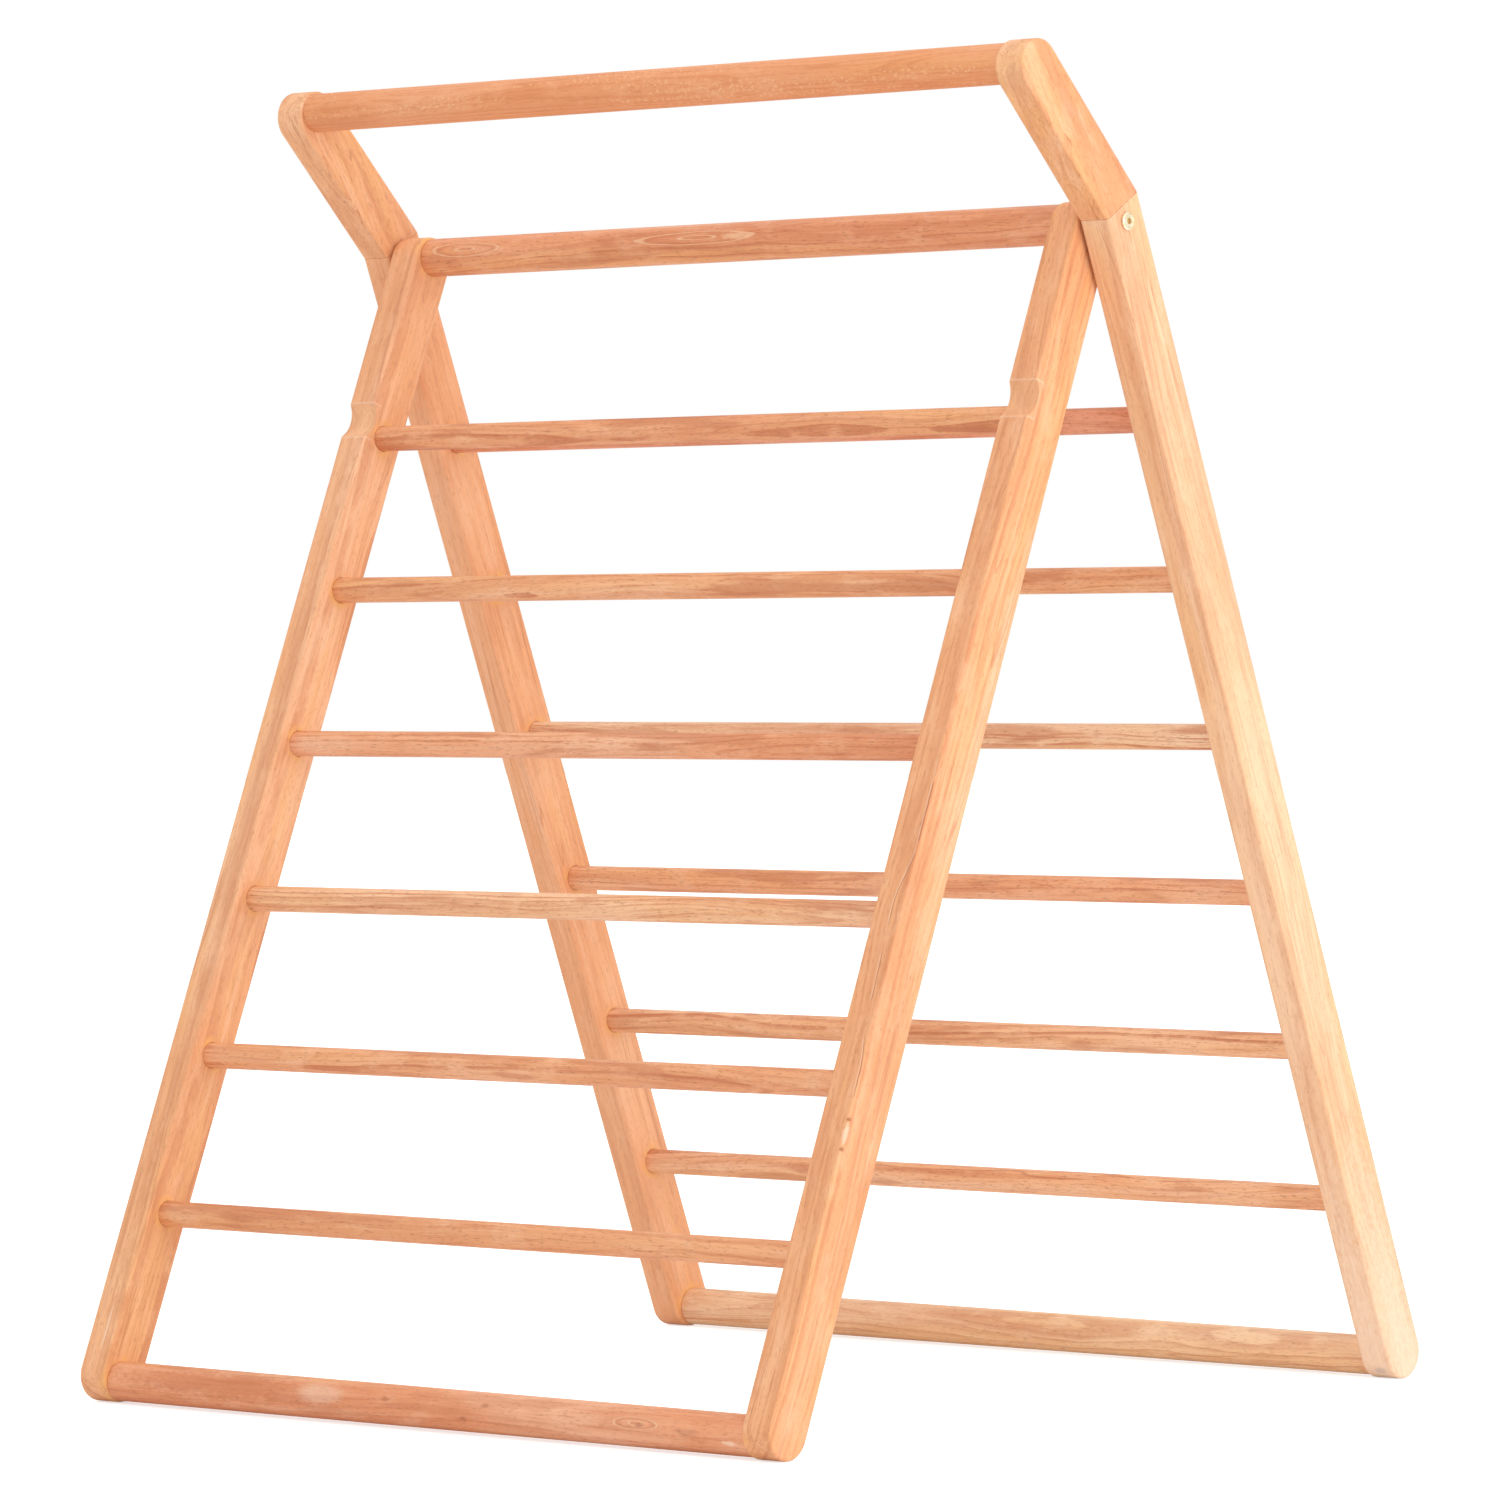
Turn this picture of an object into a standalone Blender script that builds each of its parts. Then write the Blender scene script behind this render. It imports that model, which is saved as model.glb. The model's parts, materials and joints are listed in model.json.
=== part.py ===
"""Folding wooden clothes drying rack: two ladder frames that turn on one bolted hinge line.

World frame: metres, +Z up, X along the rungs, front frame towards -Y. The origin is on the floor,
in the middle of the rack's footprint. Each frame is laid out in its own local space, whose origin is
on the hinge axis and whose -Z runs down the posts; an empty on the hinge axis leans it into place.
"""

import math

import bmesh
import bpy
from mathutils import Matrix, Vector

# Sections of the timber
POST_THICK = 0.0300
POST_DEPTH = 0.0450
EDGE_ROUND = 0.0025
RAIL_RADIUS = 0.01675
RUNG_RADIUS = 0.0110
END_REACH = 0.0178  # from a rail's axis to the end of the post around it

# Layout of the two frames, measured down the posts from the hinge axis
FRONT_LEAN = math.radians(22.7)
BACK_LEAN = math.radians(20.34)
FRONT_HALF_WIDTH = 0.3776
BACK_HALF_WIDTH = 0.4107
FRONT_RAIL_DROP = 1.040
FRONT_FIRST_RUNG = 0.1735
FRONT_RUNG_PITCH = 0.14343
BACK_FIRST_RUNG = 0.17125
BACK_RUNG_PITCH = 0.14105
RUNG_COUNT = 6

# Carrying handle, which continues the back posts above the hinge
ARM_LEAN = math.radians(43.13)
MITRE_RISE = 0.0137  # from the hinge axis up to the middle of the mitre
ARM_LENGTH = 0.1548  # from the middle of the mitre to the handle bar's axis

# Seats that the handle bar drops into when the front frame is swung right up
SEAT_DEPTH = 0.0073
SEAT_RADIUS = 0.0220
SEAT_CLEARANCE = 0.0005
SEAT_LIP_ROUND = 0.0045

# Joinery and hardware
GAP = 0.0003
RUNG_TENON = 0.0160
RAIL_TENON = 0.0200
RAIL_TENON_RADIUS = 0.0110
MITRE_DOWEL_RADIUS = 0.0040
MITRE_DOWEL_DEPTH = 0.0140
MITRE_DOWEL_OFFSET = 0.0130
BOLT_RADIUS = 0.0030
BOLT_HEAD_RADIUS = 0.0076
BOLT_HEAD_HEIGHT = 0.0020
BOLT_SOCKET_RADIUS = 0.0026
BOLT_SOCKET_DEPTH = 0.0014
INSERT_RADIUS = 0.0050
INSERT_LENGTH = 0.0130
WASHER_RADIUS = 0.0080
TENON_CHAMFER = 0.0010
INSERT_RIDGE = 0.0004
INSERT_RIDGE_PITCH = 0.0020
INSERT_RIDGES = 5
WASHER_EASE = 0.0002
HEAD_EASE = 0.0004
FOOT_FLAT = 0.0003  # how much is sanded off under each foot
OVERRUN = 0.0040  # how far a cutter stands out of what it cuts
MITRE_OVERRUN = 0.0800  # how far a bar runs on before it is sliced off at the mitre

# Facets
END_STEPS = 14
FILLET_STEPS = 3
SEAT_STEPS = 12
RAIL_SIDES = 28
RUNG_SIDES = 20
HARDWARE_SIDES = 24
DOWEL_SIDES = 16

# Derived places
END_RADIUS = POST_DEPTH / 2
END_SHIFT = END_RADIUS - END_REACH  # from a rail's axis back to the centre of the round end
HINGE_HEIGHT = (FRONT_RAIL_DROP - END_SHIFT) * math.cos(FRONT_LEAN) + END_RADIUS - FOOT_FLAT
BACK_RAIL_DROP = (HINGE_HEIGHT + FOOT_FLAT - END_RADIUS) / math.cos(BACK_LEAN) + END_SHIFT
FRONT_FOOT_Y = -(FRONT_RAIL_DROP - END_SHIFT) * math.sin(FRONT_LEAN)
BACK_FOOT_Y = (BACK_RAIL_DROP - END_SHIFT) * math.sin(BACK_LEAN)
HINGE_Y = -(FRONT_FOOT_Y + BACK_FOOT_Y) / 2
ARM_BEND = ARM_LEAN - BACK_LEAN
WASHER_THICK = BACK_HALF_WIDTH - FRONT_HALF_WIDTH - POST_THICK - 2 * GAP
HANDLE_Y = -ARM_LENGTH * math.sin(ARM_BEND)
HANDLE_Z = MITRE_RISE + ARM_LENGTH * math.cos(ARM_BEND)
SEAT_FLOOR = POST_DEPTH / 2 - SEAT_DEPTH
SEAT_OUT = SEAT_FLOOR + SEAT_RADIUS
SEAT_LIP_OUT = POST_DEPTH / 2 - SEAT_LIP_ROUND
SEAT_HALF = math.sqrt((SEAT_RADIUS + SEAT_LIP_ROUND) ** 2 - (SEAT_OUT - SEAT_LIP_OUT) ** 2)
SEAT_JOIN = SEAT_HALF * SEAT_RADIUS / (SEAT_RADIUS + SEAT_LIP_ROUND)
SEATED_BAR_OUT = SEAT_FLOOR + SEAT_CLEARANCE + RAIL_RADIUS
SEAT_DROP = math.sqrt(HANDLE_Y**2 + HANDLE_Z**2 - SEATED_BAR_OUT**2)

SIDES = {"left": -1, "right": 1}


def clear_scene():
    for obj in list(bpy.data.objects):
        bpy.data.objects.remove(obj)


def make_material(name, colour, roughness, metallic=0.0):
    material = bpy.data.materials.new(name)
    material.use_nodes = True
    shader = material.node_tree.nodes["Principled BSDF"]
    shader.inputs["Base Color"].default_value = (*colour, 1.0)
    shader.inputs["Roughness"].default_value = roughness
    shader.inputs["Metallic"].default_value = metallic
    return material


def make_empty(name, lean):
    """The pivot of one frame: on the hinge axis, leaning so that its -Z runs down the posts."""
    empty = bpy.data.objects.new(name, None)
    bpy.context.collection.objects.link(empty)
    empty.location = (0.0, HINGE_Y, HINGE_HEIGHT)
    empty.rotation_euler = (lean, 0.0, 0.0)
    return empty


def make_object(name, mesh_builder, parent, material=None):
    """A named object around a bmesh in its parent's space. One with no material is a cutter."""
    mesh = bpy.data.meshes.new(name)
    bmesh.ops.recalc_face_normals(mesh_builder, faces=mesh_builder.faces)
    mesh_builder.to_mesh(mesh)
    mesh_builder.free()
    obj = bpy.data.objects.new(name, mesh)
    bpy.context.collection.objects.link(obj)
    obj.parent = parent
    if material is None:
        obj.hide_render = True
        obj.display_type = "WIRE"
    else:
        mesh.materials.append(material)
        mesh.shade_smooth()
        mesh.set_sharp_from_angle(angle=math.radians(35))
    return obj


def combine(obj, other, operation="DIFFERENCE"):
    modifier = obj.modifiers.new(other.name, "BOOLEAN")
    modifier.operation = operation
    modifier.object = other
    modifier.solver = "EXACT"


# ---------------------------------------------------------------- outlines, in (drop, out) pairs
# drop runs down the post from the hinge axis, out runs towards the front


def arc(centre, radius, start, end, steps):
    """Points on an arc, angles in degrees from the drop direction towards the out direction."""
    points = []
    for step in range(steps + 1):
        angle = math.radians(start + (end - start) * step / steps)
        points.append((centre[0] + radius * math.cos(angle), centre[1] + radius * math.sin(angle)))
    return points


def seat_out(along):
    """Height of the scoop's floor or of its rounded lip, at a distance along from its middle."""
    if along < SEAT_JOIN:
        return SEAT_OUT - math.sqrt(SEAT_RADIUS**2 - along**2)
    return SEAT_LIP_OUT + math.sqrt(max(0.0, SEAT_LIP_ROUND**2 - (SEAT_HALF - along) ** 2))


def seat_points(shrink):
    """The scoop in the front face. It is cut after the arrises are rounded, so it runs straight
    across, and where the arris has already fallen away by shrink the scoop starts further in."""
    face = POST_DEPTH / 2 - shrink
    if face > seat_out(SEAT_JOIN):
        start = SEAT_HALF - math.sqrt(max(0.0, SEAT_LIP_ROUND**2 - (face - SEAT_LIP_OUT) ** 2))
    else:
        start = math.sqrt(SEAT_RADIUS**2 - (SEAT_OUT - face) ** 2)
    points = []
    for step in range(SEAT_STEPS + 1):
        along = -start * math.cos(math.pi * step / SEAT_STEPS)
        points.append((SEAT_DROP + along, seat_out(abs(along))))
    return points


def bar_outline(top, bottom, shrink, seat=False):
    """The side view of a post or an arm. A top given as None runs on, to be cut off at the mitre."""
    half = POST_DEPTH / 2 - shrink
    points = []
    if top is None:
        points.append((-MITRE_OVERRUN, half))
    if seat:
        points += seat_points(shrink)
    points += arc((bottom - END_SHIFT, 0.0), half, 90, -90, END_STEPS)
    if top is None:
        points.append((-MITRE_OVERRUN, -half))
    else:
        points += arc((top + END_SHIFT, 0.0), half, 270, 90, END_STEPS)
    return points


def slab(outline, middle_x, grow=0.0):
    """A bar of POST_THICK with its side view given by outline(shrink) and its arrises rounded over."""
    half = POST_THICK / 2 + grow
    rings = []
    for step in range(FILLET_STEPS + 1):
        angle = math.pi / 2 * step / FILLET_STEPS
        inset = EDGE_ROUND * (1 - math.cos(angle))
        rings.append((-half + inset, EDGE_ROUND * (1 - math.sin(angle)) - grow))
    rings += [(-x, shrink) for x, shrink in reversed(rings)]
    builder = bmesh.new()
    loops = []
    for x, shrink in rings:
        loops.append([builder.verts.new((middle_x + x, -out, -drop)) for drop, out in outline(shrink)])
    for lower, upper in zip(loops, loops[1:]):
        count = len(lower)
        for i in range(count):
            j = (i + 1) % count
            builder.faces.new((lower[i], lower[j], upper[j], upper[i]))
    builder.faces.new(list(reversed(loops[0])))
    builder.faces.new(loops[-1])
    return builder


def slice_off(builder, point, normal):
    """Removes what lies on the normal's side of a plane and closes the cut."""
    geometry = list(builder.verts) + list(builder.edges) + list(builder.faces)
    cut = bmesh.ops.bisect_plane(
        builder, geom=geometry, plane_co=point, plane_no=normal, clear_outer=True, dist=1e-7
    )
    edges = [item for item in cut["geom_cut"] if isinstance(item, bmesh.types.BMEdge)]
    bmesh.ops.contextual_create(builder, geom=edges)


def round_rod(builder, start, end, radius, sides, chamfer=0.0):
    """A rod from start to end, added to the bmesh, with an optional chamfer at both ends."""
    start = Vector(start)
    end = Vector(end)
    along = (end - start).normalized()
    turn = Vector((0, 0, 1)).rotation_difference(along).to_matrix()
    if abs(along.x) > 0.999:
        turn = Matrix(((0, 0, along.x), (0, 1, 0), (-along.x, 0, 0)))
    length = (end - start).length
    stations = [(0.0, radius), (length, radius)]
    if chamfer:
        stations = [
            (0.0, radius - chamfer),
            (chamfer, radius),
            (length - chamfer, radius),
            (length, radius - chamfer),
        ]
    return turned(builder, stations, start, turn, sides)


def turned(builder, profile, origin, turn, sides):
    """A solid of revolution from (along, radius) pairs, closed by flat faces at both ends."""
    loops = []
    for along, radius in profile:
        loop = []
        for i in range(sides):
            angle = 2 * math.pi * (i + 0.5) / sides
            local = Vector((radius * math.cos(angle), radius * math.sin(angle), along))
            loop.append(builder.verts.new(Vector(origin) + turn @ local))
        loops.append(loop)
    for lower, upper in zip(loops, loops[1:]):
        for i in range(sides):
            j = (i + 1) % sides
            builder.faces.new((lower[i], lower[j], upper[j], upper[i]))
    builder.faces.new(list(reversed(loops[0])))
    builder.faces.new(loops[-1])
    return builder


def cross_rod(builder, x_from, x_to, drop, radius, sides, chamfer=0.0):
    """A rod parallel to the hinge axis, at a given drop below it in the frame's plane."""
    return round_rod(builder, (x_from, 0, -drop), (x_to, 0, -drop), radius, sides, chamfer)


# ---------------------------------------------------------------- timber pieces


def socket_cutter(name, parent, side, half_width, rung_drops, rail_places):
    """The blind holes in a post's inner face: one for each rung and one for each rail's tenon."""
    inner = side * (half_width - POST_THICK / 2)
    outside = inner - side * OVERRUN
    builder = bmesh.new()
    for drop in rung_drops:
        bottom = inner + side * (RUNG_TENON + GAP)
        cross_rod(builder, outside, bottom, drop, RUNG_RADIUS + GAP, RUNG_SIDES)
    for y, z in rail_places:
        bottom = inner + side * (RAIL_TENON + GAP)
        radius = RAIL_TENON_RADIUS + GAP
        round_rod(builder, (outside, y, z), (bottom, y, z), radius, RUNG_SIDES)
    return make_object(name, builder, parent)


def bolt_hole_cutter(name, parent, side, half_width):
    builder = bmesh.new()
    reach = POST_THICK / 2 + OVERRUN
    middle = side * half_width
    cross_rod(builder, middle - reach, middle + reach, 0.0, BOLT_RADIUS + GAP, HARDWARE_SIDES)
    return make_object(name, builder, parent)


def foot_cut(builder, lean):
    """Sands the foot flat on the floor. The plane is given in the leaning frame's own space."""
    up = Matrix.Rotation(-lean, 3, "X") @ Vector((0, 0, 1))
    slice_off(builder, -up * HINGE_HEIGHT, -up)


def rung_drops(first, pitch):
    return [first + pitch * i for i in range(RUNG_COUNT)]


def add_rungs(prefix, parent, half_width, drops, material):
    reach = half_width - POST_THICK / 2 + RUNG_TENON
    for number, drop in enumerate(drops, 1):
        builder = bmesh.new()
        cross_rod(builder, -reach, reach, drop, RUNG_RADIUS, RUNG_SIDES, TENON_CHAMFER)
        make_object(f"{prefix}_rung_{number}", builder, parent, material)


def add_rail(name, parent, half_width, y, z, around, material):
    """A thick round rail. Its shoulders are coped over the posts' rounded arrises, which around()
    gives as a slab with its own placement, and a slimmer tenon runs on into each post."""
    builder = bmesh.new()
    reach = half_width + POST_THICK / 2 - EDGE_ROUND
    round_rod(builder, (-reach, y, z), (reach, y, z), RAIL_RADIUS, RAIL_SIDES)
    rail = make_object(name, builder, parent, material)
    for word, side in SIDES.items():
        combine(rail, make_object(f"{name}_cope_{word}", around(side), parent))
    builder = bmesh.new()
    tenon = half_width - POST_THICK / 2 + RAIL_TENON
    round_rod(
        builder, (-tenon, y, z), (tenon, y, z), RAIL_TENON_RADIUS, RUNG_SIDES, TENON_CHAMFER
    )
    combine(rail, make_object(f"{name}_tenons", builder, parent), "UNION")
    return rail


def arm_matrix():
    """From an arm's own space, whose -Z runs from the mitre to the handle bar, to the back frame's."""
    return Matrix.Translation((0, 0, MITRE_RISE)) @ Matrix.Rotation(math.pi + ARM_BEND, 4, "X")


def arm_slab(side, grow=0.0):
    def outline(shrink):
        return bar_outline(None, ARM_LENGTH, shrink)

    builder = slab(outline, side * BACK_HALF_WIDTH, grow)
    builder.transform(arm_matrix())
    return builder


def front_slab(side, grow=0.0):
    def outline(shrink):
        return bar_outline(0.0, FRONT_RAIL_DROP, shrink, seat=True)

    return slab(outline, side * FRONT_HALF_WIDTH, grow)


def back_slab(side, grow=0.0):
    def outline(shrink):
        return bar_outline(None, BACK_RAIL_DROP, shrink)

    return slab(outline, side * BACK_HALF_WIDTH, grow)


def mitre_plane():
    """A point in the mitre and the direction across it, from post to arm, in the back frame's space."""
    return Vector((0, 0, MITRE_RISE)), Vector((0, -math.sin(ARM_BEND / 2), math.cos(ARM_BEND / 2)))


def mitre_dowel_places(side):
    """The middles of the two dowels that cross one mitre, in front of and behind the bolt."""
    point, across = mitre_plane()
    sideways = Vector((0, -math.cos(ARM_BEND / 2), -math.sin(ARM_BEND / 2)))
    shift = Vector((side * BACK_HALF_WIDTH, 0, 0))
    return {
        "front": point + shift + sideways * MITRE_DOWEL_OFFSET,
        "rear": point + shift - sideways * MITRE_DOWEL_OFFSET,
    }


def dowel_hole_cutter(name, parent, side):
    across = mitre_plane()[1]
    builder = bmesh.new()
    for middle in mitre_dowel_places(side).values():
        reach = across * (MITRE_DOWEL_DEPTH + GAP)
        round_rod(
            builder, middle - reach, middle + reach, MITRE_DOWEL_RADIUS + GAP, DOWEL_SIDES
        )
    return make_object(name, builder, parent)


def build_back_frame(pivot, wood, rung_wood):
    drops = rung_drops(BACK_FIRST_RUNG, BACK_RUNG_PITCH)
    point, across = mitre_plane()
    for word, side in SIDES.items():
        builder = back_slab(side)
        slice_off(builder, point - across * GAP / 2, across)
        foot_cut(builder, BACK_LEAN)
        post = make_object(f"back_post_{word}", builder, pivot, wood)
        places = [(0.0, -BACK_RAIL_DROP)]
        sockets = socket_cutter(f"back_sockets_{word}", pivot, side, BACK_HALF_WIDTH, drops, places)
        combine(post, sockets)
        combine(post, bolt_hole_cutter(f"back_bolt_hole_{word}", pivot, side, BACK_HALF_WIDTH))

        builder = arm_slab(side)
        slice_off(builder, point + across * GAP / 2, -across)
        arm = make_object(f"handle_arm_{word}", builder, pivot, wood)
        places = [(HANDLE_Y, HANDLE_Z)]
        combine(arm, socket_cutter(f"arm_socket_{word}", pivot, side, BACK_HALF_WIDTH, [], places))

        holes = dowel_hole_cutter(f"mitre_holes_{word}", pivot, side)
        combine(post, holes)
        combine(arm, holes)
        for place, middle in mitre_dowel_places(side).items():
            builder = bmesh.new()
            reach = across * MITRE_DOWEL_DEPTH
            round_rod(
                builder, middle - reach, middle + reach,
                MITRE_DOWEL_RADIUS, DOWEL_SIDES, TENON_CHAMFER,
            )
            make_object(f"mitre_dowel_{word}_{place}", builder, pivot, rung_wood)

    add_rungs("back", pivot, BACK_HALF_WIDTH, drops, rung_wood)
    add_rail(
        "back_bottom_rail", pivot, BACK_HALF_WIDTH, 0.0, -BACK_RAIL_DROP,
        lambda side: back_slab(side, GAP), rung_wood,
    )
    add_rail(
        "handle_bar", pivot, BACK_HALF_WIDTH, HANDLE_Y, HANDLE_Z,
        lambda side: arm_slab(side, GAP), rung_wood,
    )


def build_front_frame(pivot, wood, rung_wood):
    drops = rung_drops(FRONT_FIRST_RUNG, FRONT_RUNG_PITCH)
    for word, side in SIDES.items():
        builder = front_slab(side)
        foot_cut(builder, -FRONT_LEAN)
        post = make_object(f"front_post_{word}", builder, pivot, wood)
        places = [(0.0, 0.0), (0.0, -FRONT_RAIL_DROP)]
        sockets = socket_cutter(f"front_sockets_{word}", pivot, side, FRONT_HALF_WIDTH, drops, places)
        combine(post, sockets)
        combine(post, bolt_hole_cutter(f"front_bolt_hole_{word}", pivot, side, FRONT_HALF_WIDTH))

    add_rungs("front", pivot, FRONT_HALF_WIDTH, drops, rung_wood)
    for name, drop in (("front_top_rail", 0.0), ("front_bottom_rail", FRONT_RAIL_DROP)):
        rail = add_rail(
            name, pivot, FRONT_HALF_WIDTH, 0.0, -drop, lambda side: front_slab(side, GAP), rung_wood
        )
        if drop == 0.0:
            combine(rail, insert_hole_cutter("insert_holes", pivot))


# ---------------------------------------------------------------- hardware of the hinge


def rail_end():
    """How far from the middle of the rack the front top rail's tenons end."""
    return FRONT_HALF_WIDTH - POST_THICK / 2 + RAIL_TENON


def insert_hole_cutter(name, parent):
    builder = bmesh.new()
    depth = INSERT_LENGTH + OVERRUN
    for side in SIDES.values():
        mouth = side * (rail_end() + OVERRUN)
        bottom = side * (rail_end() - depth)
        cross_rod(builder, bottom, mouth, 0.0, INSERT_RADIUS + GAP, HARDWARE_SIDES)
    return make_object(name, builder, parent)


def x_turn(side):
    """Lays a turned profile's own axis along X, towards the given side."""
    return Matrix(((0, 0, side), (0, 1, 0), (-side, 0, 0)))


def add_insert(word, side, pivot, metal):
    builder = bmesh.new()
    start = side * (rail_end() - GAP - INSERT_LENGTH)
    valley = INSERT_RADIUS - INSERT_RIDGE
    profile = [(0.0, valley - INSERT_RIDGE), (INSERT_RIDGE, valley)]
    for ridge in range(INSERT_RIDGES):
        crest = INSERT_RIDGE_PITCH * (ridge + 1)
        slope = INSERT_RIDGE_PITCH / 3
        profile += [(crest - slope, valley), (crest, INSERT_RADIUS), (crest + slope, valley)]
    collar = INSERT_LENGTH - INSERT_RIDGE_PITCH / 2
    profile += [(collar, INSERT_RADIUS), (INSERT_LENGTH, INSERT_RADIUS)]
    turned(builder, profile, (start, 0, 0), x_turn(side), HARDWARE_SIDES)
    insert = make_object(f"rail_insert_{word}", builder, pivot, metal)
    builder = bmesh.new()
    ends = sorted((start - side * OVERRUN, start + side * (INSERT_LENGTH + OVERRUN)))
    cross_rod(builder, ends[0], ends[1], 0.0, BOLT_RADIUS + GAP, HARDWARE_SIDES)
    combine(insert, make_object(f"rail_insert_bore_{word}", builder, pivot))


def add_washer(word, side, pivot, metal):
    builder = bmesh.new()
    start = side * (FRONT_HALF_WIDTH + POST_THICK / 2 + GAP)
    profile = [
        (0.0, WASHER_RADIUS - WASHER_EASE),
        (WASHER_EASE, WASHER_RADIUS),
        (WASHER_THICK - WASHER_EASE, WASHER_RADIUS),
        (WASHER_THICK, WASHER_RADIUS - WASHER_EASE),
    ]
    turned(builder, profile, (start, 0, 0), x_turn(side), HARDWARE_SIDES)
    washer = make_object(f"hinge_washer_{word}", builder, pivot, metal)
    builder = bmesh.new()
    ends = sorted((start - side * OVERRUN, start + side * (WASHER_THICK + OVERRUN)))
    cross_rod(builder, ends[0], ends[1], 0.0, BOLT_RADIUS + GAP, HARDWARE_SIDES)
    combine(washer, make_object(f"hinge_washer_bore_{word}", builder, pivot))


def add_bolt(word, side, pivot, metal):
    """A flat-headed connector bolt, from outside the back post into the rail's insert."""
    tip = rail_end() - INSERT_LENGTH + TENON_CHAMFER
    face = BACK_HALF_WIDTH + POST_THICK / 2 + GAP
    length = face - tip
    top = length + BOLT_HEAD_HEIGHT
    profile = [
        (0.0, BOLT_RADIUS - HEAD_EASE),
        (HEAD_EASE, BOLT_RADIUS),
        (length, BOLT_RADIUS),
        (length, BOLT_HEAD_RADIUS - HEAD_EASE),
        (length + HEAD_EASE, BOLT_HEAD_RADIUS),
        (top - 2 * HEAD_EASE, BOLT_HEAD_RADIUS),
        (top - HEAD_EASE, BOLT_HEAD_RADIUS - HEAD_EASE),
        (top, BOLT_HEAD_RADIUS - 3 * HEAD_EASE),
    ]
    builder = bmesh.new()
    turned(builder, profile, (side * tip, 0, 0), x_turn(side), HARDWARE_SIDES)
    bolt = make_object(f"hinge_bolt_{word}", builder, pivot, metal)
    builder = bmesh.new()
    bottom = side * (tip + top - BOLT_SOCKET_DEPTH)
    turned(
        builder, [(0.0, BOLT_SOCKET_RADIUS), (OVERRUN, BOLT_SOCKET_RADIUS)],
        (bottom, 0, 0), x_turn(side), 6,
    )
    combine(bolt, make_object(f"hinge_bolt_socket_{word}", builder, pivot))


def main():
    clear_scene()
    teak = make_material("teak_posts", (0.72, 0.44, 0.25), 0.55)
    teak_round = make_material("teak_rounds", (0.66, 0.37, 0.20), 0.55)
    brass = make_material("pale_brass", (0.80, 0.72, 0.52), 0.30, 1.0)
    back_pivot = make_empty("back_frame_pivot", BACK_LEAN)
    front_pivot = make_empty("front_frame_pivot", -FRONT_LEAN)
    build_back_frame(back_pivot, teak, teak_round)
    build_front_frame(front_pivot, teak, teak_round)
    for word, side in SIDES.items():
        add_bolt(word, side, front_pivot, brass)
        add_washer(word, side, front_pivot, brass)
        add_insert(word, side, front_pivot, brass)


main()
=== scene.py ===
"""Looks of the folding wooden drying rack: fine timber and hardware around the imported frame.

Each timber piece is built in its own space: local Z runs along its grain, and for posts and arms
local X is the thickness and -Y the face towards the front. Lengths are in metres.
"""

import json
import math

import bmesh
import bpy
from mathutils import Matrix, Vector


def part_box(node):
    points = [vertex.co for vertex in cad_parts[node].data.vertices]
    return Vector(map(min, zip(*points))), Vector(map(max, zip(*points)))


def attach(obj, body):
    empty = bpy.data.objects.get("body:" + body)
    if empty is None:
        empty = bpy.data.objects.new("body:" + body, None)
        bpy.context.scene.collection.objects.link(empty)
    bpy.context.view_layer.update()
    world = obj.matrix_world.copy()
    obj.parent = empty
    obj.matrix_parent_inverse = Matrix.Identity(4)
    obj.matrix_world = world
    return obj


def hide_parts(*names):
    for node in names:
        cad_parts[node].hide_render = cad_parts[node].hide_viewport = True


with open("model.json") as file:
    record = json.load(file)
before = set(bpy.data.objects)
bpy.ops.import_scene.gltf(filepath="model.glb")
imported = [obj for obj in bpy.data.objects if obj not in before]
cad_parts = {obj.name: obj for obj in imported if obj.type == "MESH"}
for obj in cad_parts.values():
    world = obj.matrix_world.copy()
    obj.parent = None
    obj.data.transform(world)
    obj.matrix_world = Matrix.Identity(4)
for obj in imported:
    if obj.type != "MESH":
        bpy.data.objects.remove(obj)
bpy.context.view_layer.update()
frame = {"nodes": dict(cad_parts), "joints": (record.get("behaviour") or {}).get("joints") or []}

# Sections of the timber, as in the CAD
BAR_DEPTH = 0.0450
EDGE_ROUND = 0.0025
RUNG_RADIUS = 0.0110
RAIL_RADIUS = 0.01675
RAIL_CORE = 0.01075  # a rail's thinner end, out of sight inside the post
END_REACH = 0.0178
MITRE_RISE = 0.0137
SEAT_DEPTH = 0.0073
SEAT_RADIUS = 0.0220
SEAT_CLEARANCE = 0.0005
SEAT_LIP_ROUND = 0.0045
BOLT_RADIUS = 0.0030
BOLT_HOLE_RADIUS = 0.0033
BOLT_SOCKET_RADIUS = 0.0026
BOLT_SOCKET_DEPTH = 0.0014
WASHER_EASE = 0.0002

# Fine seams where two pieces meet
SEAM = 0.0003
SEAM_EASE = 0.0004
MITRE_SEAM = 0.0001
TENON_SINK = 0.012
MITRE_OVERRUN = 0.080  # how far a bar runs on before it is cut at the mitre
TIMBER_OVERRUN = 0.004  # how far a cutter stands out of the timber
HARDWARE_OVERRUN = 0.002  # how far a cutter stands out of a bolt or a washer
COPE_DEPTH = 0.030  # from a rail's shoulder in to the next ring of its mesh

# Steps of the fine meshes
END_STEPS = 56
SEAT_STEPS = 48
FILLET_STEPS = 6
RAIL_SIDES = 112
RUNG_SIDES = 72
HARDWARE_SIDES = 72

RUNG_COUNT = 6

# How pale (-1) or dark (1) the wood of each rung is, from the top one down. Beyond 1 goes further
FRONT_RUNG_TONES = (0.50, 0.10, 0.75, -0.25, 0.40, 0.10)
BACK_RUNG_TONES = (1.5, -0.10, -1.15, 0.60, -0.15, 0.15)
SIDES = {"left": -1, "right": 1}

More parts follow.
